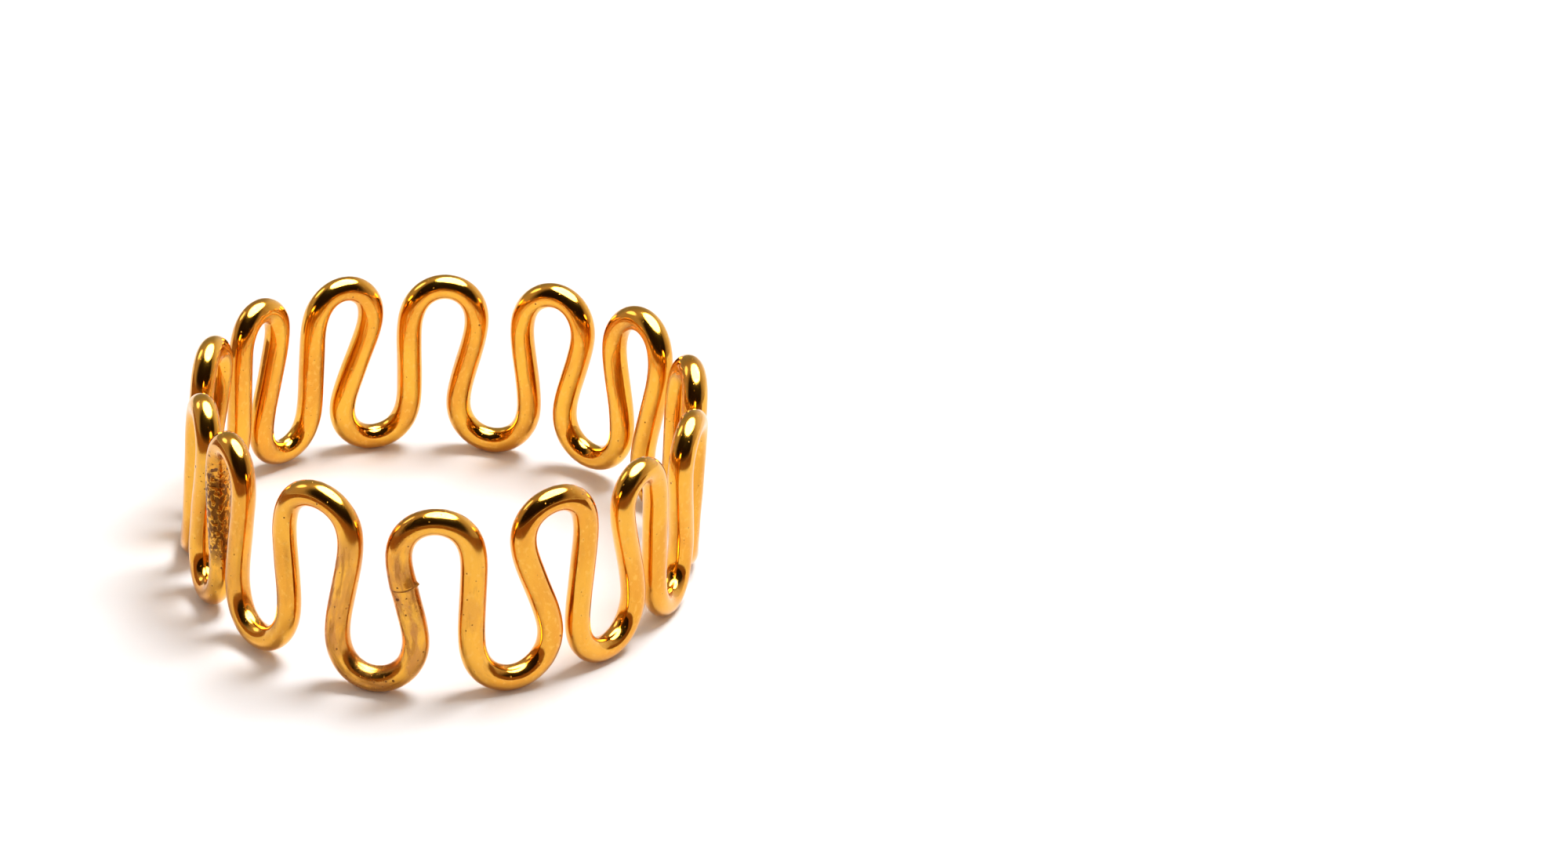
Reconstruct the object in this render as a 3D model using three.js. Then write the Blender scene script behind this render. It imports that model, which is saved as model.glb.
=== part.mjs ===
// Toe ring: one round wire bent to a wave, closed end to end and rolled into a band.
// Millimetres, +Z up. The ring lies on its side, with its feet on Z = 0 and its axis along Z.
import * as THREE from 'three';

// Driving dimensions
const WIRE_DIAMETER = 0.86;
const BAND_RADIUS = 8.5; // from the ring's axis to the centre of the wire
const BAND_HEIGHT = 6.85; // from the surface it lies on to the top of an ordinary crest
const SPRING = 0.7; // how far along the wire each bend eases into the legs beside it

// How far the hand-rolled band is from a true circle: the radius grows by depth on the side
// that at gives, in degrees round the band, and turns says how many such sides there are.
const OUT_OF_ROUND = [
  { turns: 2, depth: 0.25, at: 20 },
  { turns: 3, depth: 0.2, at: -10 },
];
const LEAN = 0.3; // the crests stand this far to the right of the feet

// How finely the wire is cut into flat faces. The stations between one top or foot and the next
// are shared out by bend and by length: STEP_TURN degrees of bend count as much as STEP_RISE.
const WIRE_SIDES = 12;
const STATIONS_PER_HALF_WAVE = 14;
const STEP_TURN = 20;
const STEP_RISE = 2;
const FINE_POINTS = 2800; // points of the path that the stations are picked from
const FINE_STEPS_PER_ARC = 60;

// One row for each wave, from the front round to the right. crestAt and troughAt are degrees
// round the band. crestTop is how far the wave's top is above BAND_HEIGHT, and foot how far its
// lowest point is off the floor. crestBend and troughBend are the radii of the pins that the
// wire was bent round, measured to the middle of the wire.
const WAVES = [
  { crestAt: -1.75, troughAt: 16.25, crestTop: -0.05, foot: 0, crestBend: 1.25, troughBend: 1.4 },
  { crestAt: 24.25, troughAt: 40.75, crestTop: 0.35, foot: 0, crestBend: 1.25, troughBend: 1.4 },
  { crestAt: 48.75, troughAt: 67, crestTop: 0.1, foot: 0, crestBend: 1, troughBend: 1.3 },
  { crestAt: 76.5, troughAt: 91, crestTop: -0.05, foot: 0.05, crestBend: 1.2, troughBend: 1.15 },
  { crestAt: 102.5, troughAt: 116.5, crestTop: 0.05, foot: 0, crestBend: 1.2, troughBend: 1.2 },
  { crestAt: 127.75, troughAt: 140.25, crestTop: 0.25, foot: 0.3, crestBend: 1.35, troughBend: 1.4 },
  { crestAt: 153.25, troughAt: 167, crestTop: 0, foot: 0, crestBend: 1.3, troughBend: 1.4 },
  { crestAt: 180, troughAt: 195.25, crestTop: -0.2, foot: 0, crestBend: 1.25, troughBend: 1.25 },
  { crestAt: 203.5, troughAt: 217.75, crestTop: -0.1, foot: 0.1, crestBend: 1.1, troughBend: 1.05 },
  { crestAt: 226, troughAt: 239.5, crestTop: -0.05, foot: 0.05, crestBend: 0.95, troughBend: 1.2 },
  { crestAt: 247, troughAt: 264, crestTop: -0.15, foot: 0, crestBend: 1.1, troughBend: 1.3 },
  { crestAt: 279, troughAt: 290, crestTop: 0.05, foot: 0.05, crestBend: 1.1, troughBend: 1.25 },
  { crestAt: 300, troughAt: 315.5, crestTop: 0.1, foot: 0.1, crestBend: 1.15, troughBend: 1.5 },
  { crestAt: 331.25, troughAt: 346.75, crestTop: 0.2, foot: 0, crestBend: 1.4, troughBend: 1.4 },
];

const WIRE_RADIUS = WIRE_DIAMETER / 2;
const BAND_LENGTH = 2 * Math.PI * BAND_RADIUS;

// How much a bend's top gives when the bend eases: an arc averaged along itself comes out this
// much smaller.
function give(radius) {
  return radius * (1 - Math.exp(-((SPRING / radius) ** 2) / 2));
}

// The pins that the wire goes round while the band is still flat. s runs along the flat band and
// z up it; side is 1 for a crest, which the wire passes over, and -1 for a trough. The pins
// stand apart by what the bends give, so that the eased wave has its height.
function bendingPins() {
  const along = (degrees) => BAND_RADIUS * THREE.MathUtils.degToRad(degrees);
  return WAVES.flatMap((wave) => [
    {
      side: 1,
      radius: wave.crestBend,
      s: along(wave.crestAt),
      z: BAND_HEIGHT + wave.crestTop - WIRE_RADIUS - wave.crestBend + give(wave.crestBend),
    },
    {
      side: -1,
      radius: wave.troughBend,
      s: along(wave.troughAt),
      z: wave.foot + WIRE_RADIUS + wave.troughBend - give(wave.troughBend),
    },
  ]);
}

// Heading of the straight leg between two pins. The leg touches one pin above and the other
// below, so it is the line of centres turned by the angle of that crossed tangent.
function legHeading(from, to) {
  const across = to.s - from.s;
  const up = to.z - from.z;
  const turn = Math.asin((from.radius + to.radius) / Math.hypot(across, up));
  return Math.atan2(up, across) - from.side * turn;
}

// Centre of the wire bent tightly round the pins: an arc on each, joined by straight legs. It
// ends one band length further along than it starts.
function tightPath() {
  const pins = bendingPins();
  const after = (i) => {
    const next = pins[(i + 1) % pins.length];
    return i + 1 < pins.length ? next : { ...next, s: next.s + BAND_LENGTH };
  };
  const legs = pins.map((pin, i) => legHeading(pin, after(i)));
  const points = pins.flatMap(({ side, radius, s, z }, i) => {
    const arc = [];
    for (let k = 0; k <= FINE_STEPS_PER_ARC; k += 1) {
      const before = legs[(i + pins.length - 1) % pins.length];
      const heading = THREE.MathUtils.lerp(before, legs[i], k / FINE_STEPS_PER_ARC);
      arc.push({
        s: s - side * radius * Math.sin(heading),
        z: z + side * radius * Math.cos(heading),
      });
    }
    return arc;
  });
  return [...points, { s: points[0].s + BAND_LENGTH, z: points[0].z }];
}

// Points at equal steps along a path, the last step ending where the path does.
function evenSteps(path, count) {
  const run = [0];
  for (let i = 1; i < path.length; i += 1) {
    run.push(run[i - 1] + Math.hypot(path[i].s - path[i - 1].s, path[i].z - path[i - 1].z));
  }
  const length = run[run.length - 1];
  const points = [];
  let i = 1;
  for (let k = 0; k < count; k += 1) {
    const at = (length * k) / count;
    while (run[i] < at) i += 1;
    const share = (at - run[i - 1]) / (run[i] - run[i - 1]);
    points.push({
      s: THREE.MathUtils.lerp(path[i - 1].s, path[i].s, share),
      z: THREE.MathUtils.lerp(path[i - 1].z, path[i].z, share),
    });
  }
  return { points, step: length / count };
}

// Averages values along the closed wire, with weights that fall off as a bell curve.
function ease(values, step) {
  const reach = Math.ceil((4 * SPRING) / step);
  const weights = [];
  for (let k = -reach; k <= reach; k += 1) {
    weights.push(Math.exp(-(((k * step) / SPRING) ** 2) / 2));
  }
  const total = weights.reduce((sum, weight) => sum + weight, 0);
  const near = (i, k) => values[(i + k - reach + values.length) % values.length];
  return values.map(
    (_, i) => weights.reduce((sum, weight, k) => sum + weight * near(i, k), 0) / total,
  );
}

// The path once the bends have eased, with the heading at each point. What is averaged along
// the band is how far each point is ahead of an even run.
function easedPath() {
  const { points, step } = evenSteps(tightPath(), FINE_POINTS);
  const run = (i) => (BAND_LENGTH * i) / FINE_POINTS;
  const ahead = ease(points.map((point, i) => point.s - run(i)), step);
  const height = ease(points.map((point) => point.z), step);
  return points.map((_, i) => {
    const next = (i + 1) % FINE_POINTS;
    const before = (i + FINE_POINTS - 1) % FINE_POINTS;
    const along = ahead[next] - ahead[before] + run(2);
    const heading = Math.atan2(height[next] - height[before], along);
    return { s: ahead[i] + run(i), z: height[i], heading };
  });
}

// Point of the closed path at a fractional index.
function pointAt(path, index) {
  const whole = Math.floor(index);
  const from = path[whole % path.length];
  const to = path[(whole + 1) % path.length];
  const wrap = (whole + 1) % path.length === 0 ? BAND_LENGTH : 0;
  const share = index - whole;
  return {
    s: THREE.MathUtils.lerp(from.s, to.s + wrap, share),
    z: THREE.MathUtils.lerp(from.z, to.z, share),
    heading: THREE.MathUtils.lerp(from.heading, to.heading, share),
  };
}

// Indices of the path's tops and feet, where its heading changes sign.
function turningPoints(path) {
  const indices = path.map((_, i) => i);
  return indices.filter((i) => path[i].heading * path[(i + 1) % path.length].heading <= 0);
}

// Stations from one top or foot to the next, half a step clear of both.
function halfWave(path, start, end) {
  const effort = [0];
  for (let i = start; i < end; i += 1) {
    const from = path[i % path.length];
    const to = path[(i + 1) % path.length];
    const turn = THREE.MathUtils.radToDeg(Math.abs(to.heading - from.heading));
    const rise = Math.abs(to.z - from.z);
    effort.push(effort[i - start] + turn / STEP_TURN + rise / STEP_RISE);
  }
  const stations = [];
  let i = 1;
  for (let k = 0; k < STATIONS_PER_HALF_WAVE; k += 1) {
    const at = (effort[end - start] * (k + 0.5)) / STATIONS_PER_HALF_WAVE;
    while (effort[i] < at) i += 1;
    const share = (at - effort[i - 1]) / (effort[i] - effort[i - 1]);
    stations.push(pointAt(path, start + i - 1 + share));
  }
  return stations;
}

// Stations along the wire's centre in the flat band, once round. The two beside each top or foot
// are levelled with each other, so that the face between them is level.
function wireStations() {
  const path = easedPath();
  const turns = turningPoints(path);
  const stations = turns.flatMap((start, i) => {
    const end = i + 1 < turns.length ? turns[i + 1] : turns[0] + path.length;
    return halfWave(path, start, end);
  });
  for (let i = 0; i < stations.length; i += STATIONS_PER_HALF_WAVE) {
    const before = stations[(i + stations.length - 1) % stations.length];
    const after = stations[i];
    const z = (before.z + after.z) / 2;
    const heading = (after.heading - before.heading) / 2;
    Object.assign(before, { z, heading: -heading });
    Object.assign(after, { z, heading });
  }
  return stations;
}

// Rolls a point of the flat band round the ring's axis; out is its distance outwards from the
// middle of the wire.
function rollUp(s, z, out) {
  const angle = s / BAND_RADIUS;
  const radius = OUT_OF_ROUND.reduce(
    (sum, { turns, depth, at }) => sum + depth * Math.cos(turns * (angle - THREE.MathUtils.degToRad(at))),
    BAND_RADIUS + out,
  );
  const lean = LEAN * (z / BAND_HEIGHT - 0.5);
  return new THREE.Vector3(radius * Math.sin(angle) + lean, -radius * Math.cos(angle), z);
}

// Closed tube of WIRE_SIDES flat sides round the stations. The sides are one wire radius from the
// centre, and one of them faces straight down at each foot.
function waveBandGeometry() {
  const cornerRadius = WIRE_RADIUS / Math.cos(Math.PI / WIRE_SIDES);
  const stations = wireStations();
  const corners = stations.flatMap(({ s, z, heading }) => {
    const ring = [];
    for (let side = 0; side < WIRE_SIDES; side += 1) {
      const angle = (2 * Math.PI * (side + 0.5)) / WIRE_SIDES;
      const inBand = cornerRadius * Math.cos(angle);
      const out = cornerRadius * Math.sin(angle);
      ring.push(rollUp(s - inBand * Math.sin(heading), z + inBand * Math.cos(heading), out));
    }
    return ring;
  });
  const faces = [];
  for (let i = 0; i < stations.length; i += 1) {
    const here = i * WIRE_SIDES;
    const there = ((i + 1) % stations.length) * WIRE_SIDES;
    for (let side = 0; side < WIRE_SIDES; side += 1) {
      const next = (side + 1) % WIRE_SIDES;
      faces.push(here + side, there + next, there + side);
      faces.push(here + side, here + next, there + next);
    }
  }
  const geometry = new THREE.BufferGeometry().setFromPoints(corners);
  geometry.setIndex(faces);
  geometry.computeVertexNormals();
  return geometry;
}

// Gold-coloured plate, polished
const gold = new THREE.MeshStandardMaterial({ color: 0xe0a23c, roughness: 0.2, metalness: 1 });

// The origin is under the middle of the band, at the level of its feet.
const waveBand = new THREE.Mesh(waveBandGeometry(), gold);
waveBand.name = 'wave_band';
const extent = new THREE.Box3().setFromObject(waveBand);
const middle = extent.getCenter(new THREE.Vector3());
waveBand.position.set(-middle.x, -middle.y, -extent.min.z);

const ring = new THREE.Group();
ring.add(waveBand);

export default ring;
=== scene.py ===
"""A wavy wire toe ring in polished gold plate, lying on its side in a small jeweller's light box.

The ring is one round wire. It is worked out while the band is still flat, as a wire bent to and
fro round two rows of pins, sprung as such wire springs, and then rolled up and closed. Sizes in
the tables are millimetres, and MM turns them into the scene's metres. The ring's frame is the
packed one: the origin is under the middle of the band and +Z is its axis.
"""

import logging
import math
from dataclasses import dataclass
from enum import Enum

import bpy
import numpy as np
from mathutils import Matrix, Vector


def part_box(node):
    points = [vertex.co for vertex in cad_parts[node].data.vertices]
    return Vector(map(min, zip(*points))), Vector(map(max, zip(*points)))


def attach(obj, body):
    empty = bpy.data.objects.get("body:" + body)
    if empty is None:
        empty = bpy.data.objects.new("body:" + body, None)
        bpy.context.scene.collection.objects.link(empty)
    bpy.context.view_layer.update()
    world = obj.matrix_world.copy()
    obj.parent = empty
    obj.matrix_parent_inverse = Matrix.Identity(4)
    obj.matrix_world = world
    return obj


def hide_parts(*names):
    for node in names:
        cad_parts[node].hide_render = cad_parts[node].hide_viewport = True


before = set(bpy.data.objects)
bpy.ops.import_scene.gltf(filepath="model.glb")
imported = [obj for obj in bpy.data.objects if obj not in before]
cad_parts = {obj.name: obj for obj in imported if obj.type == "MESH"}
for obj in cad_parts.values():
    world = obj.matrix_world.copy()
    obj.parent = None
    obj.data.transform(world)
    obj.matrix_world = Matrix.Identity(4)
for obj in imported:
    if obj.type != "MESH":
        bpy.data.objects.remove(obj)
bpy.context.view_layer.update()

log = logging.getLogger("toe_ring")

MM = 0.001
IMAGE_WIDTH_PX = 2000
FULL_TURN = 2.0 * math.pi


class Bend(Enum):
    """Which way the wire goes round a pin: 1 over a crest, -1 under a trough."""

    CREST = 1
    TROUGH = -1


@dataclass(frozen=True)
class Wave:
    """One crest and the trough to its right. Angles are degrees round the band, the rest mm."""

    crest_at: float
    trough_at: float
    crest_top: float
    foot: float
    crest_bend: float
    trough_bend: float


@dataclass(frozen=True)
class Lobes:
    """One way in which the band is out of round: the radius grows by depth on some sides."""

    sides: int
    depth: float
    at: float


class WearAndPaintedReflection(Enum):
    """Kinds of marks, each named as the mesh attribute that holds how much of it there is: pits,
    and matte patches whose darker brown is partly painted reflection.
    """

    MATTE_AND_PAINTED_REFLECTION = "matte_and_painted_reflection"
    PITTED = "pitted"


@dataclass(frozen=True)
class Patch:
    """A marked place on the wire, in the ring's frame, in millimetres: pitted, or a matte patch
    whose darker brown is partly painted reflection.
    """

    kind: WearAndPaintedReflection
    centre: tuple[float, float, float]
    reach: float
    strength: float


WAVES = (
    Wave(-1.75, 16.25, crest_top=-0.05, foot=0.0, crest_bend=1.25, trough_bend=1.4),
    Wave(24.25, 40.75, crest_top=0.35, foot=0.0, crest_bend=1.25, trough_bend=1.4),
    Wave(48.75, 67.0, crest_top=0.1, foot=0.0, crest_bend=1.0, trough_bend=1.3),
    Wave(76.5, 91.0, crest_top=-0.05, foot=0.05, crest_bend=1.2, trough_bend=1.15),
    Wave(102.5, 116.5, crest_top=0.05, foot=0.0, crest_bend=1.2, trough_bend=1.2),
    Wave(127.75, 140.25, crest_top=0.25, foot=0.3, crest_bend=1.35, trough_bend=1.4),
    Wave(153.25, 167.0, crest_top=0.0, foot=0.0, crest_bend=1.3, trough_bend=1.4),
    Wave(180.0, 195.25, crest_top=-0.2, foot=0.0, crest_bend=1.25, trough_bend=1.25),
    Wave(203.5, 217.75, crest_top=-0.1, foot=0.1, crest_bend=1.1, trough_bend=1.05),
    Wave(226.0, 239.5, crest_top=-0.05, foot=0.05, crest_bend=0.95, trough_bend=1.2),
    Wave(247.0, 264.0, crest_top=-0.15, foot=0.0, crest_bend=1.1, trough_bend=1.3),
    Wave(279.0, 290.0, crest_top=0.05, foot=0.05, crest_bend=1.1, trough_bend=1.25),
    Wave(300.0, 315.5, crest_top=0.1, foot=0.1, crest_bend=1.15, trough_bend=1.5),
    Wave(331.25, 346.75, crest_top=0.2, foot=0.0, crest_bend=1.4, trough_bend=1.4),
)


# The matte patches on the front legs are rougher, and their darker brown also paints in the darker
# reflections those legs show: painted reflection.
PATCHES = (
    Patch(WearAndPaintedReflection.MATTE_AND_PAINTED_REFLECTION, (-1.7, -8.9, 5.2), reach=0.8, strength=0.9),
    Patch(WearAndPaintedReflection.MATTE_AND_PAINTED_REFLECTION, (-1.5, -9.0, 4.0), reach=0.8, strength=1.0),
    Patch(WearAndPaintedReflection.MATTE_AND_PAINTED_REFLECTION, (-1.4, -9.0, 2.8), reach=0.9, strength=1.0),
    Patch(WearAndPaintedReflection.MATTE_AND_PAINTED_REFLECTION, (-1.3, -9.0, 1.5), reach=1.0, strength=0.9),
    Patch(WearAndPaintedReflection.MATTE_AND_PAINTED_REFLECTION, (-2.2, -8.8, 0.2), reach=1.1, strength=0.8),
    Patch(WearAndPaintedReflection.MATTE_AND_PAINTED_REFLECTION, (-3.6, -8.3, 1.0), reach=0.8, strength=0.8),
    Patch(WearAndPaintedReflection.MATTE_AND_PAINTED_REFLECTION, (-3.8, -8.2, 2.3), reach=0.8, strength=1.0),
    Patch(WearAndPaintedReflection.MATTE_AND_PAINTED_REFLECTION, (-3.7, -8.2, 3.6), reach=0.8, strength=1.0),
    Patch(WearAndPaintedReflection.MATTE_AND_PAINTED_REFLECTION, (-3.4, -8.3, 4.8), reach=0.8, strength=0.8),
    Patch(WearAndPaintedReflection.MATTE_AND_PAINTED_REFLECTION, (1.0, -9.0, 3.2), reach=1.3, strength=0.4),
    Patch(WearAndPaintedReflection.MATTE_AND_PAINTED_REFLECTION, (1.6, -8.9, 0.4), reach=1.2, strength=0.4),
    Patch(WearAndPaintedReflection.MATTE_AND_PAINTED_REFLECTION, (-6.8, -5.1, 2.2), reach=1.8, strength=0.4),
    Patch(WearAndPaintedReflection.PITTED, (-7.5, -3.5, 4.7), reach=1.1, strength=1.0),
    Patch(WearAndPaintedReflection.PITTED, (-7.5, -3.8, 3.0), reach=1.1, strength=1.0),
    Patch(WearAndPaintedReflection.PITTED, (-1.1, -9.0, 3.2), reach=1.6, strength=0.35),
    Patch(WearAndPaintedReflection.PITTED, (-1.0, -8.7, 6.4), reach=0.7, strength=0.5),
    Patch(WearAndPaintedReflection.PITTED, (-2.3, -8.8, 0.6), reach=1.2, strength=0.3),
)


@dataclass
class WaveBand:
    """The whole ring: one wire bent to a wave, closed end to end and rolled into a band.

    Lengths are millimetres until the last step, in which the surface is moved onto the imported
    node and turned into metres.
    """

    wire_radius: float = 0.43
    band_radius: float = 8.5
    band_height: float = 6.85
    lean: float = 0.3
    out_of_round: tuple[Lobes, ...] = (Lobes(2, 0.25, 20.0), Lobes(3, 0.2, -10.0))
    waves: tuple[Wave, ...] = WAVES
    spring: float = 0.7
    arc_points: int = 60
    path_points: int = 4096
    stations: int = 1900
    sides: int = 40
    joint_from_crest: float = 1.0
    joint_swell: float = 0.012
    joint_reach: float = 0.3
    joint_stations: int = 12
    joint_spacing: float = 0.025
    nib_height: float = 0.09
    nib_width: float = 0.07
    nib_side: float = 0.47
    unevenness: float = 0.006
    uneven_waves: int = 90
    uneven_turns: tuple[int, int] = (20, 190)
    uneven_fade: int = 60
    seed: int = 7
    patches: tuple[Patch, ...] = PATCHES

    @property
    def flat_length(self) -> float:
        """Length of the flat band before it is rolled up."""
        return FULL_TURN * self.band_radius

    def pins(self) -> tuple[np.ndarray, np.ndarray, np.ndarray, np.ndarray]:
        """Pins that the wire goes round, crest and trough by turns.

        An arc averaged along itself comes out smaller by a Gaussian of the spring over its
        radius. The pins stand apart by that much, so that the sprung wave has its height.

        Returns:
            The place along the flat band, the height, the radius and the Bend value of each.
        """
        rows = self.waves
        turns = np.radians([[w.crest_at, w.trough_at] for w in rows])
        radius = np.array([[w.crest_bend, w.trough_bend] for w in rows])
        top = np.array([self.band_height + w.crest_top for w in rows])
        foot = np.array([w.foot for w in rows])
        give = radius * (1.0 - np.exp(-((self.spring / radius) ** 2) / 2.0))
        inner = radius + self.wire_radius - give
        height = np.stack([top - inner[:, 0], foot + inner[:, 1]], 1)
        bend = np.tile([Bend.CREST.value, Bend.TROUGH.value], len(rows))
        return turns.ravel() * self.band_radius, height.ravel(), radius.ravel(), bend

    def bent_path(self) -> tuple[np.ndarray, np.ndarray]:
        """Centre of the wire as arcs round the pins, joined by straight legs.

        A leg touches one pin above and the next below, so it runs along the line of centres
        turned by the angle whose sine is the sum of the radii over their distance. On a pin,
        the wire is one radius from the centre, at right angles to its heading.

        Returns:
            The place along the flat band and the height of each point, once round.
        """
        along, height, radius, bend = self.pins()
        next_along = np.roll(along, -1)
        next_along[-1] += self.flat_length
        next_height = np.roll(height, -1)
        across, up = next_along - along, next_height - height
        reach = (radius + np.roll(radius, -1)) / np.hypot(across, up)
        leg = np.arctan2(up, across) - bend * np.arcsin(reach)
        share = np.linspace(0.0, 1.0, self.arc_points)
        before = np.roll(leg, 1)
        heading = before[:, None] + (leg - before)[:, None] * share
        arm = (bend * radius)[:, None]
        arc_along = along[:, None] - arm * np.sin(heading)
        arc_height = height[:, None] + arm * np.cos(heading)
        end_along = np.roll(arc_along[:, 0], -1)
        end_along[-1] += self.flat_length
        end_height = np.roll(arc_height[:, 0], -1)
        share = share[1:-1]
        leg_along = arc_along[:, -1:] + (end_along - arc_along[:, -1])[:, None] * share
        leg_height = arc_height[:, -1:] + (end_height - arc_height[:, -1])[:, None] * share
        return (
            np.concatenate([arc_along, leg_along], axis=1).ravel(),
            np.concatenate([arc_height, leg_height], axis=1).ravel(),
        )

    def springy_path(self) -> tuple[np.ndarray, np.ndarray, np.ndarray, float]:
        """The bent path with its curvature evened out, as the spring of the wire does.

        The path is spaced evenly along its length, and each of its two coordinates, less the
        steady run along the band, is multiplied in frequency by a Gaussian whose width along
        the wire is the spring. It starts at the joint.

        Returns:
            The place along the band, the height and the heading of each point, and the length
            of the wire.
        """
        along, height = self.bent_path()
        along = np.append(along, along[0] + self.flat_length)
        height = np.append(height, height[0])
        run = np.concatenate([[0.0], np.cumsum(np.hypot(np.diff(along), np.diff(height)))])
        length = run[-1]
        share = np.arange(self.path_points) / self.path_points
        start = 1.0 - self.joint_from_crest / length
        at = (share + start) % 1.0
        wrapped = np.where(at < start, self.flat_length, 0.0)
        along = np.interp(at * length, run, along) + wrapped - self.flat_length * share
        height = np.interp(at * length, run, height)
        wavenumber = np.fft.rfftfreq(self.path_points, length / self.path_points)
        soft = np.exp(-2.0 * (math.pi * wavenumber * self.spring) ** 2)
        slope = 2j * math.pi * wavenumber
        waves_along = np.fft.rfft(along) * soft
        waves_height = np.fft.rfft(height) * soft
        count = self.path_points
        run_along = np.fft.irfft(waves_along * slope, count) + self.flat_length / length
        run_height = np.fft.irfft(waves_height * slope, count)
        return (
            np.fft.irfft(waves_along, count) + self.flat_length * share,
            np.fft.irfft(waves_height, count),
            np.unwrap(np.arctan2(run_height, run_along)),
            length,
        )

    def roll_up(self, along: np.ndarray, height: np.ndarray, out: np.ndarray) -> np.ndarray:
        """Rolls points of the flat band round the ring's axis.

        The angle is the place along the band over its radius, and the radius is the band's,
        plus one cosine for each way it is out of round, plus the distance outwards.

        Args:
            along: Place along the flat band.
            height: Height above the feet.
            out: Distance outwards from the middle of the wire.

        Returns:
            The points in space, in an array whose last axis is x, y and z.
        """
        angle = along / self.band_radius
        radius = self.band_radius + out
        for lobes in self.out_of_round:
            radius = radius + lobes.depth * np.cos(lobes.sides * (angle - math.radians(lobes.at)))
        lean = self.lean * (height / self.band_height - 0.5)
        return np.stack([radius * np.sin(angle) + lean, -radius * np.cos(angle), height], axis=-1)

    def joint_relief(self, along: np.ndarray, around: np.ndarray) -> np.ndarray:
        """Height of the solder over the wire: a slight swelling round the joint, and one nib.

        Args:
            along: Distance along the wire from the joint.
            around: Angle round the wire, one for each side.

        Returns:
            One height for each station and side.
        """
        swell = self.joint_swell * np.exp(-((along / self.joint_reach) ** 2))
        round_wire = (around - FULL_TURN * self.nib_side + math.pi) % FULL_TURN - math.pi
        far = along[:, None] ** 2 + (self.wire_radius * round_wire) ** 2
        return swell[:, None] + self.nib_height * np.exp(-far / self.nib_width**2)

    def section_radius(
        self, share: np.ndarray, around: np.ndarray, length: float
    ) -> np.ndarray:
        """Radius of the wire at each station and side.

        Half the diameter, plus a few long shallow waves that the hand tools leave, each a
        cosine of whole turns along and round the wire, plus the solder of the joint.

        Args:
            share: Share of the wire's length, one for each station.
            around: Angle round the wire, one for each side.
            length: Length of the wire.

        Returns:
            One radius for each station and side.
        """
        rng = np.random.default_rng(self.seed)
        count = self.uneven_waves
        along_turns = rng.integers(*self.uneven_turns, count)
        round_turns = rng.integers(0, 4, count)
        phase = rng.uniform(0.0, FULL_TURN, count)
        size = self.unevenness * rng.normal(0.0, 1.0, count) / math.sqrt(count)
        size = size * self.uneven_fade / along_turns.clip(self.uneven_fade)
        waves = np.exp(1j * (FULL_TURN * share[:, None] * along_turns + phase)) * size
        turns = np.exp(1j * round_turns[:, None] * around)
        from_joint = ((share + 0.5) % 1.0 - 0.5) * length
        solder = self.joint_relief(from_joint, around)
        return self.wire_radius + (waves @ turns).real + solder

    def station_shares(self, length: float) -> np.ndarray:
        """Shares of the wire's length at the stations, closer together beside the joint.

        Args:
            length: Length of the wire.

        Returns:
            One share for each station, starting at the joint.
        """
        beside = self.joint_stations
        fine = np.arange(beside) * (self.joint_spacing / length)
        coarse = np.linspace(fine[-1], 1.0 - fine[-1], self.stations - 2 * beside + 3)[1:-1]
        return np.concatenate([fine, coarse, 1.0 - fine[:0:-1]])

    def marks_and_painted_reflection(self, points: np.ndarray) -> dict[WearAndPaintedReflection, np.ndarray]:
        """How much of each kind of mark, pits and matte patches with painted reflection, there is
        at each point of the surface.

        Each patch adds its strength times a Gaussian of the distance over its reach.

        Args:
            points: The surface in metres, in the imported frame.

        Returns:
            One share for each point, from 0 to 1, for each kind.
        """
        amounts = {}
        flat = points.reshape(-1, 3) / MM
        for kind in WearAndPaintedReflection:
            patches = [patch for patch in self.patches if patch.kind is kind]
            centres = np.array([patch.centre for patch in patches])
            reach = np.array([patch.reach for patch in patches])
            strength = np.array([patch.strength for patch in patches])
            far = np.linalg.norm(flat[:, None] - centres, axis=-1) / reach
            amounts[kind] = (strength * np.exp(-(far**2))).sum(axis=1).clip(0.0, 1.0)
        return amounts

    def surface(self) -> tuple[np.ndarray, np.ndarray, np.ndarray]:
        """The wire's surface on a grid of stations along it and sides round it.

        A point is the path's, plus the section's radius times the cosine of the angle round it
        along the path's normal in the band, and times the sine of that angle outwards.

        Returns:
            The points in millimetres, the share of the length at each station and the angle of
            each side.
        """
        along, height, heading, length = self.springy_path()
        share = self.station_shares(length)
        known = np.arange(self.path_points + 1) / self.path_points
        along = np.interp(share, known, np.append(along, along[0] + self.flat_length))
        height = np.interp(share, known, np.append(height, height[0]))
        heading = np.interp(share, known, np.append(heading, heading[0]))
        around = FULL_TURN * np.arange(self.sides) / self.sides
        radius = self.section_radius(share, around, length)
        in_band = radius * np.cos(around)
        out = radius * np.sin(around)
        points = self.roll_up(
            along[:, None] - in_band * np.sin(heading)[:, None],
            height[:, None] + in_band * np.cos(heading)[:, None],
            out,
        )
        return points, share, around

    def onto_node(self, points: np.ndarray) -> np.ndarray:
        """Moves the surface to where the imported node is: middle over middle, foot on the floor.

        Args:
            points: The surface in millimetres.

        Returns:
            The surface in metres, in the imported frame.
        """
        node_low, node_high = (np.array(corner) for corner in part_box("wave_band"))
        points = points * MM
        low, high = points.min(axis=(0, 1)), points.max(axis=(0, 1))
        shift = (node_low + node_high) / 2.0 - (low + high) / 2.0
        shift[2] = node_low[2] - low[2]
        return points + shift

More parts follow.
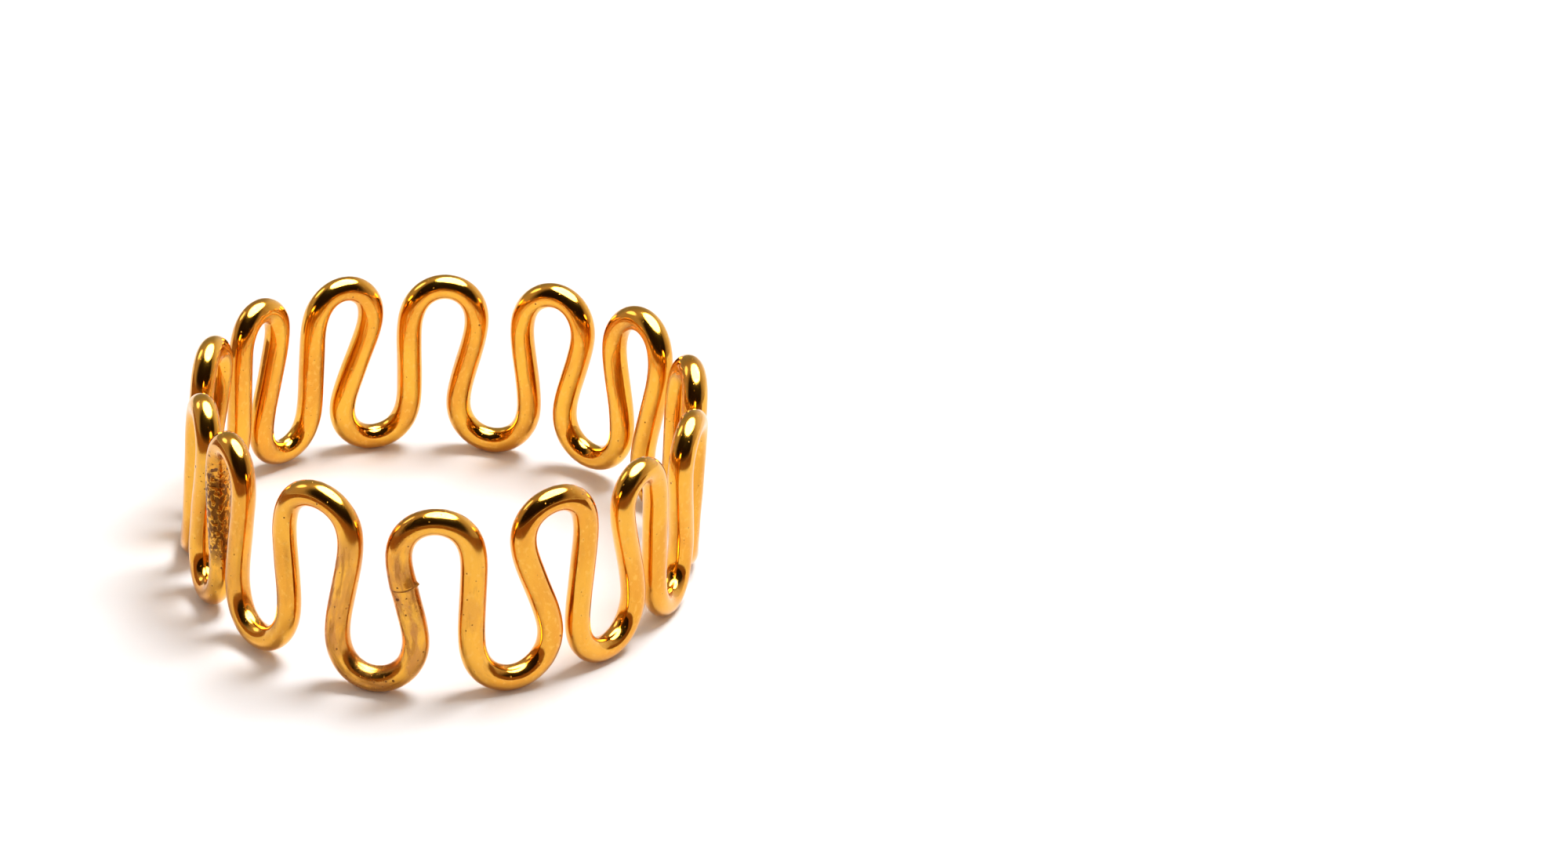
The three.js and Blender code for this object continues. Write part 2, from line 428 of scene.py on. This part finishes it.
    def build(self) -> bpy.types.Object:
        """Makes the ring as one closed mesh with a UV map along and round the wire.

        Returns:
            The ring's object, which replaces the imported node.
        """
        points, share, around = self.surface()
        points = self.onto_node(points)
        ring = closed_tube("gold_wave_wire", points, share, around / FULL_TURN)
        for kind, amount in self.marks_and_painted_reflection(points).items():
            layer = ring.data.attributes.new(kind.value, "FLOAT", "POINT")
            layer.data.foreach_set("value", amount.astype(np.float32))
        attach(ring, "root")
        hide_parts("wave_band")
        return ring


def closed_tube(
    name: str, points: np.ndarray, along: np.ndarray, around: np.ndarray
) -> bpy.types.Object:
    """Makes a mesh from a grid that closes on itself both ways.

    Quad (i, j) joins points (i, j), (i, j+1), (i+1, j+1) and (i+1, j), with both counts taken
    round. Its UV map runs from 0 to 1 along the stations and round the sides.

    Args:
        name: Name of the piece.
        points: Points by station, side and axis, in metres.
        along: Share of the length at each station.
        around: Share of the turn at each side.

    Returns:
        The new object, at the origin.
    """
    stations, sides, _ = points.shape
    i, j = np.meshgrid(np.arange(stations), np.arange(sides), indexing="ij")
    corner_i = np.stack([i, i, i + 1, i + 1], axis=-1)
    corner_j = np.stack([j, j + 1, j + 1, j], axis=-1)
    corners = (corner_i % stations) * sides + corner_j % sides
    uv = np.stack([np.append(along, 1.0)[corner_i], np.append(around, 1.0)[corner_j]], axis=-1)

    mesh = bpy.data.meshes.new(name)
    mesh.vertices.add(stations * sides)
    mesh.vertices.foreach_set("co", points.astype(np.float32).ravel())
    mesh.loops.add(corners.size)
    mesh.loops.foreach_set("vertex_index", corners.astype(np.int32).ravel())
    mesh.polygons.add(stations * sides)
    mesh.polygons.foreach_set("loop_start", np.arange(0, corners.size, 4, dtype=np.int32))
    mesh.polygons.foreach_set("use_smooth", np.ones(stations * sides, dtype=bool))
    layer = mesh.uv_layers.new(name="along_and_round")
    layer.data.foreach_set("uv", uv.astype(np.float32).ravel())
    mesh.update(calc_edges=True)
    mesh.validate()
    piece = bpy.data.objects.new(name, mesh)
    bpy.context.scene.collection.objects.link(piece)
    return piece


class Nodes:
    """Adds nodes to one node tree and joins them, so that a finish reads as a recipe."""

    def __init__(self, tree: bpy.types.NodeTree) -> None:
        """Takes the tree to add to."""
        self.tree = tree

    def add(self, kind: str, settings: dict | None = None, **sockets: object) -> bpy.types.Node:
        """Adds a node.

        Args:
            kind: The node's Blender type, without the ShaderNode in front.
            settings: Values of the node's own options.
            **sockets: A value or an output for each named input, with _ for a space.

        Returns:
            The new node.
        """
        node = self.tree.nodes.new(f"ShaderNode{kind}")
        for option, value in (settings or {}).items():
            setattr(node, option, value)
        for name, value in sockets.items():
            self.feed(node.inputs[name.replace("_", " ")], value)
        return node

    def feed(self, socket: bpy.types.NodeSocket, value: object) -> None:
        """Joins an output to a socket, or sets the socket's own value."""
        if isinstance(value, bpy.types.NodeSocket):
            self.tree.links.new(value, socket)
        else:
            socket.default_value = value

    def math(self, operation: str, *values: object) -> bpy.types.NodeSocket:
        """Adds a Math node and returns its output."""
        node = self.add("Math", {"operation": operation})
        for socket, value in zip(node.inputs, values):
            self.feed(socket, value)
        return node.outputs[0]

    def dot(self, first: object, second: object) -> bpy.types.NodeSocket:
        """Adds the dot product of two vectors and returns it."""
        node = self.add("VectorMath", {"operation": "DOT_PRODUCT"})
        self.feed(node.inputs[0], first)
        self.feed(node.inputs[1], second)
        return node.outputs["Value"]

    def smooth_step(self, value: object, low: float, high: float) -> bpy.types.NodeSocket:
        """Turns a value into a share that rises smoothly from 0 at low to 1 at high."""
        node = self.add(
            "MapRange",
            {"interpolation_type": "SMOOTHSTEP"},
            Value=value,
            From_Min=low,
            From_Max=high,
        )
        return node.outputs[0]

    def blend(self, share: object, first: object, second: object) -> bpy.types.NodeSocket:
        """Mixes two colours and returns the mix."""
        node = self.add("Mix", {"data_type": "RGBA"})
        inputs = {socket.identifier: socket for socket in node.inputs}
        self.feed(inputs["Factor_Float"], share)
        self.feed(inputs["A_Color"], first)
        self.feed(inputs["B_Color"], second)
        return next(o for o in node.outputs if o.identifier == "Result_Color")


def new_material(name: str) -> tuple[bpy.types.Material, bpy.types.ShaderNodeTree, bpy.types.Node]:
    """Makes a material with nodes and returns it, its tree and its Principled shader."""
    material = bpy.data.materials.new(name)
    material.use_nodes = True
    return material, material.node_tree, material.node_tree.nodes["Principled BSDF"]


@dataclass(frozen=True)
class Grain:
    """A noise on the wire: features per millimetre along, across and out, and finer layers."""

    per_mm: tuple[float, float, float]
    layers: float


@dataclass(frozen=True)
class Pits:
    """Round pits on the wire: how many in a millimetre, and the largest as a share of that."""

    per_mm: float
    reach: float


@dataclass(frozen=True)
class GoldPlate:
    """Polished gold plate over brass wire, with the marks of drawing, bending and wear, and matte
    patches on the front legs whose darker brown is partly painted reflection.

    Marks lie on the wire's own place: millimetres along it, as it is before it springs, and the
    cosine and sine of the angle round it times its radius, so that they follow every bend. Each
    span is the pair of noise values between which a mark comes in.
    """

    colour: tuple[float, float, float] = (0.85, 0.43, 0.04)
    reddish: tuple[float, float, float] = (0.74, 0.33, 0.03)
    pale: tuple[float, float, float] = (0.88, 0.5, 0.09)
    # Darker brown for the rubbed outside and the matte patches; on the front legs' matte patches it
    # is also painted reflection.
    matte_brown_and_painted_reflection: tuple[float, float, float] = (0.55, 0.24, 0.05)
    olive: tuple[float, float, float] = (0.42, 0.17, 0.02)
    bare: tuple[float, float, float] = (0.2, 0.075, 0.015)
    wire_length: float = 219.0
    wire_radius: float = 0.43
    cloud: Grain = Grain((0.35, 0.9, 0.9), 3.0)
    speckle: Grain = Grain((5.0, 7.0, 7.0), 2.0)
    drawn: Grain = Grain((1.1, 5.5, 5.5), 3.0)
    streak: Grain = Grain((0.9, 3.0, 3.0), 3.0)
    small_pits: Pits = Pits(3.2, 0.75)
    fine_pits: Pits = Pits(7.0, 0.8)
    pit_edge: float = 0.12
    outside_span: tuple[float, float] = (-0.1, 0.3)
    rubbed_span: tuple[float, float] = (0.35, 0.7)
    rubbed: float = 0.2
    patchy_span: tuple[float, float] = (0.3, 0.6)
    streaks_span: tuple[float, float] = (0.52, 0.68)
    streaks_most: float = 0.75
    streaks_least: float = 0.1
    pitting_span: tuple[float, float] = (0.3, 0.6)
    pitting_most: float = 0.75
    pitting_least: float = 0.22
    blotch_span: tuple[float, float] = (0.4, 0.55)
    blotch: float = 0.9
    tone_span: tuple[float, float] = (0.38, 0.62)
    pale_span: tuple[float, float] = (0.52, 0.72)
    pale_share: float = 0.5
    joint_wander: float = 0.04
    joint_edge: tuple[float, float] = (0.02, 0.06)
    joint_darkness: float = 0.6
    roughness: float = 0.1
    mottle_roughness: float = 0.05
    dull_roughness: float = 0.2
    pit_roughness: float = 0.3
    lacquer: float = 0.3
    lacquer_roughness: float = 0.07
    relief: float = 0.00002
    relief_strength: float = 0.7
    drawn_relief: float = 0.25
    cloud_relief: float = 0.5
    speckle_relief: float = 0.3

    def wire_place(self, nodes: Nodes) -> bpy.types.NodeSocket:
        """Adds the place on the wire as a vector in millimetres."""
        place = nodes.add("SeparateXYZ", Vector=nodes.add("UVMap").outputs["UV"])
        turn = nodes.math("MULTIPLY", place.outputs["Y"], FULL_TURN)
        across = nodes.math("MULTIPLY", nodes.math("COSINE", turn), self.wire_radius)
        out = nodes.math("MULTIPLY", nodes.math("SINE", turn), self.wire_radius)
        along = nodes.math("MULTIPLY", place.outputs["X"], self.wire_length)
        return nodes.add("CombineXYZ", X=along, Y=across, Z=out).outputs["Vector"]

    def noise(self, nodes: Nodes, place: object, grain: Grain) -> bpy.types.NodeSocket:
        """Adds a noise over the wire.

        Args:
            nodes: Where to add it.
            place: The place on the wire.
            grain: How fine the noise is.

        Returns:
            The noise, about 0.5 in the middle.
        """
        scaled = nodes.add("VectorMath", {"operation": "MULTIPLY"})
        nodes.feed(scaled.inputs[0], place)
        nodes.feed(scaled.inputs[1], grain.per_mm)
        node = nodes.add("TexNoise", Vector=scaled.outputs[0], Scale=1.0, Detail=grain.layers)
        return node.outputs["Fac"]

    def pits(
        self, nodes: Nodes, place: object, kind: Pits, amount: object
    ) -> bpy.types.NodeSocket:
        """Adds scattered round pits, whose size grows with the amount of wear.

        Args:
            nodes: Where to add them.
            place: The place on the wire.
            kind: How many pits there are and how large.
            amount: How pitted the place is, from 0 to 1.

        Returns:
            The depth of the pits, from 0 to 1.
        """
        cell = nodes.add("TexVoronoi", Vector=place, Scale=kind.per_mm)
        chance = nodes.add("SeparateColor", Color=cell.outputs["Color"]).outputs["Red"]
        size = nodes.math("MULTIPLY", nodes.math("MULTIPLY", chance, amount), kind.reach)
        depth = nodes.math("SUBTRACT", size, cell.outputs["Distance"])
        return nodes.smooth_step(depth, 0.0, self.pit_edge)

    def joint_line(self, nodes: Nodes, place: object) -> bpy.types.NodeSocket:
        """Adds the hairline of the soldered joint, which wanders a little round the wire."""
        along = nodes.add("SeparateXYZ", Vector=place).outputs["X"]
        wander = self.noise(nodes, place, Grain((0.0, 3.0, 3.0), 1.0))
        half = self.wire_length / 2.0
        from_joint = nodes.math("PINGPONG", nodes.math("ADD", along, half), half)
        from_joint = nodes.math("SUBTRACT", half, from_joint)
        near = nodes.math("MULTIPLY_ADD", wander, self.joint_wander, from_joint)
        line = nodes.math("SUBTRACT", 1.0, nodes.smooth_step(near, *self.joint_edge))
        return nodes.math("MULTIPLY", line, self.joint_darkness)

    def material(self) -> bpy.types.Material:
        """Builds the material."""
        material, tree, shader = new_material("gold_plate")
        nodes = Nodes(tree)
        place = self.wire_place(nodes)
        # Matte patches on the front legs; their darker brown below is partly painted reflection of
        # those legs' darker surroundings.
        matte_and_painted_reflection = nodes.add("Attribute", {"attribute_name": WearAndPaintedReflection.MATTE_AND_PAINTED_REFLECTION.value}).outputs["Fac"]
        pitted = nodes.add("Attribute", {"attribute_name": WearAndPaintedReflection.PITTED.value}).outputs["Fac"]

        cloud = self.noise(nodes, place, self.cloud)
        speckle = self.noise(nodes, place, self.speckle)
        drawn = self.noise(nodes, place, self.drawn)
        streak = self.noise(nodes, place, self.streak)

        out = nodes.add("SeparateXYZ", Vector=place).outputs["Z"]
        rubbed = nodes.math("MULTIPLY", nodes.smooth_step(cloud, *self.rubbed_span), self.rubbed)
        rubbed = nodes.math("MULTIPLY", rubbed, nodes.smooth_step(out, *self.outside_span))
        # The matte patches, broken up by the streak noise; their colour is partly painted
        # reflection.
        matte_patch_and_painted_reflection = nodes.math("MULTIPLY", matte_and_painted_reflection, nodes.smooth_step(streak, *self.patchy_span))
        wear_and_painted_reflection = nodes.math("MAXIMUM", rubbed, matte_patch_and_painted_reflection)

        # Streaks are denser in the matte patches, which adds to their painted reflection.
        marked = nodes.math("MULTIPLY_ADD", matte_and_painted_reflection, self.streaks_most, self.streaks_least)
        streaks = nodes.math("MULTIPLY", nodes.smooth_step(drawn, *self.streaks_span), marked)
        wear = nodes.math("MULTIPLY_ADD", pitted, self.pitting_most, self.pitting_least)
        wear = nodes.math("MULTIPLY", wear, nodes.smooth_step(speckle, *self.pitting_span))
        pits = nodes.math(
            "MAXIMUM",
            self.pits(nodes, place, self.small_pits, wear),
            self.pits(nodes, place, self.fine_pits, wear),
        )
        blotch = nodes.math("MULTIPLY", nodes.smooth_step(speckle, *self.blotch_span), pitted)
        blotch = nodes.math("MULTIPLY", blotch, nodes.math("MULTIPLY", pitted, self.blotch))
        pits = nodes.math("MAXIMUM", pits, blotch)
        joint = self.joint_line(nodes, place)
        sunk = nodes.math("MAXIMUM", pits, joint)

        tone = nodes.smooth_step(cloud, *self.tone_span)
        colour = nodes.blend(tone, (*self.reddish, 1.0), (*self.colour, 1.0))
        paler = nodes.math("MULTIPLY", nodes.smooth_step(speckle, *self.pale_span), self.pale_share)
        colour = nodes.blend(paler, colour, (*self.pale, 1.0))
        # Darker brown where the outside is rubbed, and in the matte patches, where it is also
        # painted reflection of the front legs' darker surroundings.
        colour = nodes.blend(wear_and_painted_reflection, colour, (*self.matte_brown_and_painted_reflection, 1.0))
        colour = nodes.blend(streaks, colour, (*self.olive, 1.0))
        colour = nodes.blend(sunk, colour, (*self.bare, 1.0))

        rough = nodes.math("MULTIPLY_ADD", speckle, self.mottle_roughness, self.roughness)
        rough = nodes.math("MULTIPLY_ADD", wear_and_painted_reflection, self.dull_roughness, rough)
        rough = nodes.math("MULTIPLY_ADD", sunk, self.pit_roughness, rough)

        height = nodes.math("MULTIPLY", drawn, self.drawn_relief)
        height = nodes.math("MULTIPLY_ADD", cloud, self.cloud_relief, height)
        grainy = nodes.math("MULTIPLY", marked, self.speckle_relief)
        height = nodes.math("MULTIPLY_ADD", speckle, grainy, height)
        height = nodes.math("SUBTRACT", height, pits)
        height = nodes.math("SUBTRACT", height, joint)
        bump = nodes.add(
            "Bump", Height=height, Distance=self.relief, Strength=self.relief_strength
        )

        nodes.feed(shader.inputs["Base Color"], colour)
        nodes.feed(shader.inputs["Metallic"], 1.0)
        nodes.feed(shader.inputs["Roughness"], rough)
        nodes.feed(shader.inputs["Normal"], bump.outputs["Normal"])
        nodes.feed(shader.inputs["Coat Weight"], self.lacquer)
        nodes.feed(shader.inputs["Coat Roughness"], self.lacquer_roughness)
        return material


@dataclass(frozen=True)
class WhiteCard:
    """Smooth white card that the ring lies on."""

    colour: tuple[float, float, float] = (0.86, 0.86, 0.87)
    roughness: float = 0.9
    shine: float = 0.1

    def material(self) -> bpy.types.Material:
        """Builds the material."""
        material, _, shader = new_material("white_card")
        shader.inputs["Base Color"].default_value = (*self.colour, 1.0)
        shader.inputs["Roughness"].default_value = self.roughness
        shader.inputs["Specular IOR Level"].default_value = self.shine
        return material


def towards(azimuth: float, elevation: float) -> Vector:
    """Unit vector in a direction, with azimuth from +Y toward +X. Angles are degrees."""
    azimuth, elevation = math.radians(azimuth), math.radians(elevation)
    return Vector(
        (
            math.sin(azimuth) * math.cos(elevation),
            math.cos(azimuth) * math.cos(elevation),
            math.sin(elevation),
        )
    )


class SeenIn(Enum):
    """What a light shows in: everything, or only one of shine and shade."""

    EVERYTHING = "everything"
    REFLECTIONS = "reflections"
    SHADE = "shade"


@dataclass(frozen=True)
class SoftLight:
    """A round soft light, placed by its direction from the ring. Angles are degrees."""

    name: str
    azimuth: float
    elevation: float
    half_angle: float
    radiance: float
    distance: float = 0.4
    colour: tuple[float, float, float] = (1.0, 1.0, 1.0)
    seen_in: SeenIn = SeenIn.EVERYTHING

    def build(self) -> bpy.types.Object:
        """Makes the light, facing the ring, with the power that gives its radiance."""
        direction = towards(self.azimuth, self.elevation)
        radius = self.distance * math.tan(math.radians(self.half_angle))
        data = bpy.data.lights.new(self.name, "AREA")
        data.shape = "DISK"
        data.size = 2.0 * radius
        data.color = self.colour
        data.energy = self.radiance * math.pi * (math.pi * radius**2)
        light = bpy.data.objects.new(self.name, data)
        light.matrix_world = (
            Matrix.Translation(direction * self.distance)
            @ direction.to_track_quat("Z", "Y").to_matrix().to_4x4()
        )
        light.visible_diffuse = self.seen_in is not SeenIn.REFLECTIONS
        light.visible_glossy = self.seen_in is not SeenIn.SHADE
        bpy.context.scene.collection.objects.link(light)
        return light


@dataclass(frozen=True)
class DarkFlag:
    """A low brown strip on the camera's side, out of the picture, that only reflections see."""

    radius: float = 0.022
    height: float = 0.006
    middle: float = 200.0
    half_spread: float = 95.0
    steps: int = 40
    colour: tuple[float, float, float] = (0.28, 0.13, 0.05)

    def build(self) -> bpy.types.Object:
        """Makes the strip, standing on the card on an arc round the ring's axis.

        A point at an angle round the ring is the radius times the sine and cosine of the
        angle, at the floor or at the height.
        """
        angle = np.radians(
            self.middle + np.linspace(-self.half_spread, self.half_spread, self.steps)
        )
        ground = np.stack(
            [self.radius * np.sin(angle), self.radius * np.cos(angle), np.zeros(self.steps)], 1
        )
        points = np.concatenate([ground, ground + [0.0, 0.0, self.height]])
        first = np.arange(self.steps - 1)
        faces = np.stack(
            [first, first + 1, first + 1 + self.steps, first + self.steps], axis=1
        )
        mesh = bpy.data.meshes.new("dark_flag")
        mesh.from_pydata(points.tolist(), [], faces.tolist())
        material, _, shader = new_material("dark_cloth")
        shader.inputs["Base Color"].default_value = (*self.colour, 1.0)
        shader.inputs["Roughness"].default_value = 1.0
        mesh.materials.append(material)
        flag = bpy.data.objects.new("dark_flag", mesh)
        flag.visible_camera = False
        flag.visible_diffuse = False
        flag.visible_shadow = False
        bpy.context.scene.collection.objects.link(flag)
        return flag


@dataclass(frozen=True)
class Room:
    """The room that the ring reflects: pale behind to the right, and dark round the camera."""

    fill: tuple[float, float, float] = (0.56, 0.47, 0.4)
    pale: tuple[float, float, float] = (0.98, 0.95, 1.0)
    behind: tuple[float, float, float] = (0.32, 0.3, 0.2)
    side: tuple[float, float, float] = (0.5, 0.4, 0.36)
    low_dark: tuple[float, float, float] = (0.16, 0.08, 0.04)
    dark: tuple[float, float, float] = (0.015, 0.008, 0.005)
    back_azimuth: float = -10.0
    pale_azimuth: float = 50.0
    dark_azimuth: float = 188.0
    dark_elevation: float = 33.0
    back_span: tuple[float, float] = (0.5, 0.95)
    pale_span: tuple[float, float] = (0.6, 1.0)
    low_span: tuple[float, float] = (0.0, 0.25)
    dark_span: tuple[float, float] = (0.25, 0.6)

    def build(self) -> None:
        """Gives the world the room, which reflections see, and its fill, which lights the card.

        Each blend goes by the cosine of the angle between the direction looked in and the
        middle of the pale or the dark side.
        """
        world = bpy.data.worlds.new("room")
        world.use_nodes = True
        nodes = Nodes(world.node_tree)
        direction = nodes.add("TexCoord").outputs["Generated"]
        height = nodes.add("SeparateXYZ", Vector=direction).outputs["Z"]
        backness = nodes.dot(direction, towards(self.back_azimuth, 0.0))
        backness = nodes.smooth_step(backness, *self.back_span)
        walls = nodes.blend(backness, (*self.side, 1.0), (*self.behind, 1.0))
        paleness = nodes.dot(direction, towards(self.pale_azimuth, 0.0))
        paleness = nodes.smooth_step(paleness, *self.pale_span)
        walls = nodes.blend(paleness, walls, (*self.pale, 1.0))
        darkness = nodes.dot(direction, towards(self.dark_azimuth, self.dark_elevation))
        height = nodes.smooth_step(height, *self.low_span)
        shade = nodes.blend(height, (*self.low_dark, 1.0), (*self.dark, 1.0))
        seen = nodes.blend(nodes.smooth_step(darkness, *self.dark_span), walls, shade)
        is_shade = nodes.add("LightPath").outputs["Is Diffuse Ray"]
        background = world.node_tree.nodes["Background"]
        nodes.feed(background.inputs["Color"], nodes.blend(is_shade, seen, (*self.fill, 1.0)))
        bpy.context.scene.world = world


@dataclass
class Studio:
    """The card, the lights and the room round the ring."""

    floor_half: float = 2.0
    key: SoftLight = SoftLight(
        "key_lamp",
        azimuth=59.0,
        elevation=68.0,
        half_angle=12.5,
        radiance=21.0,
        colour=(0.92, 0.96, 1.0),
        seen_in=SeenIn.SHADE,
    )
    overhead: SoftLight = SoftLight(
        "overhead_softbox",
        azimuth=50.0,
        elevation=81.0,
        half_angle=29.5,
        radiance=15.0,
        seen_in=SeenIn.REFLECTIONS,
    )
    left: SoftLight = SoftLight(
        "left_softbox",
        azimuth=-60.0,
        elevation=32.0,
        half_angle=10.0,
        radiance=2.2,
        seen_in=SeenIn.REFLECTIONS,
    )
    room: Room = Room()
    flag: DarkFlag = DarkFlag()
    floor: WhiteCard = WhiteCard()

    def build_floor(self) -> bpy.types.Object:
        """Makes the card that fills the view, level with the ring's feet."""
        half = self.floor_half
        mesh = bpy.data.meshes.new("white_card")
        corners = [(-half, -half, 0.0), (half, -half, 0.0), (half, half, 0.0), (-half, half, 0.0)]
        mesh.from_pydata(corners, [], [(0, 1, 2, 3)])
        mesh.materials.append(self.floor.material())
        card = bpy.data.objects.new("white_card", mesh)
        bpy.context.scene.collection.objects.link(card)
        return card

    def build(self) -> None:
        """Builds the whole studio."""
        self.build_floor()
        self.room.build()
        self.flag.build()
        for light in (self.key, self.overhead, self.left):
            light.build()


@dataclass(frozen=True)
class PhotoCamera:
    """The photograph's camera: where it stands and how it is turned. Angles are degrees."""

    place: tuple[float, float, float] = (-0.087, -172.169, 95.092)
    focal_px: float = 7401.0
    yaw: float = 3.816
    pitch: float = 27.439
    roll: float = 2.223
    sensor_width: float = 36.0

    def build(self) -> bpy.types.Object:
        """Makes the camera and gives it to the scene."""
        yaw, pitch = math.radians(self.yaw), math.radians(self.pitch)
        forward = Vector(
            (
                math.sin(yaw) * math.cos(pitch),
                math.cos(yaw) * math.cos(pitch),
                -math.sin(pitch),
            )
        )
        upright = forward.to_track_quat("-Z", "Y").to_matrix().to_4x4()
        data = bpy.data.cameras.new("photo_camera")
        data.sensor_fit = "HORIZONTAL"
        data.sensor_width = self.sensor_width
        data.lens = self.focal_px / IMAGE_WIDTH_PX * self.sensor_width
        data.clip_start = 0.01
        data.clip_end = 10.0
        camera = bpy.data.objects.new("photo_camera", data)
        camera.matrix_world = (
            Matrix.Translation(Vector(self.place) * MM)
            @ upright
            @ Matrix.Rotation(math.radians(self.roll), 4, "Z")
        )
        bpy.context.scene.collection.objects.link(camera)
        bpy.context.scene.camera = camera
        return camera


def main() -> None:
    """Builds the ring, its finish, the studio and the camera."""
    logging.basicConfig(level=logging.INFO, format="%(name)s: %(message)s")
    ring = WaveBand().build()
    ring.data.materials.append(GoldPlate().material())
    log.info("%s: %d faces", ring.name, len(ring.data.polygons))
    Studio().build()
    PhotoCamera().build()
    bpy.context.scene.view_settings.view_transform = "Standard"


if __name__ == "__main__":
    main()
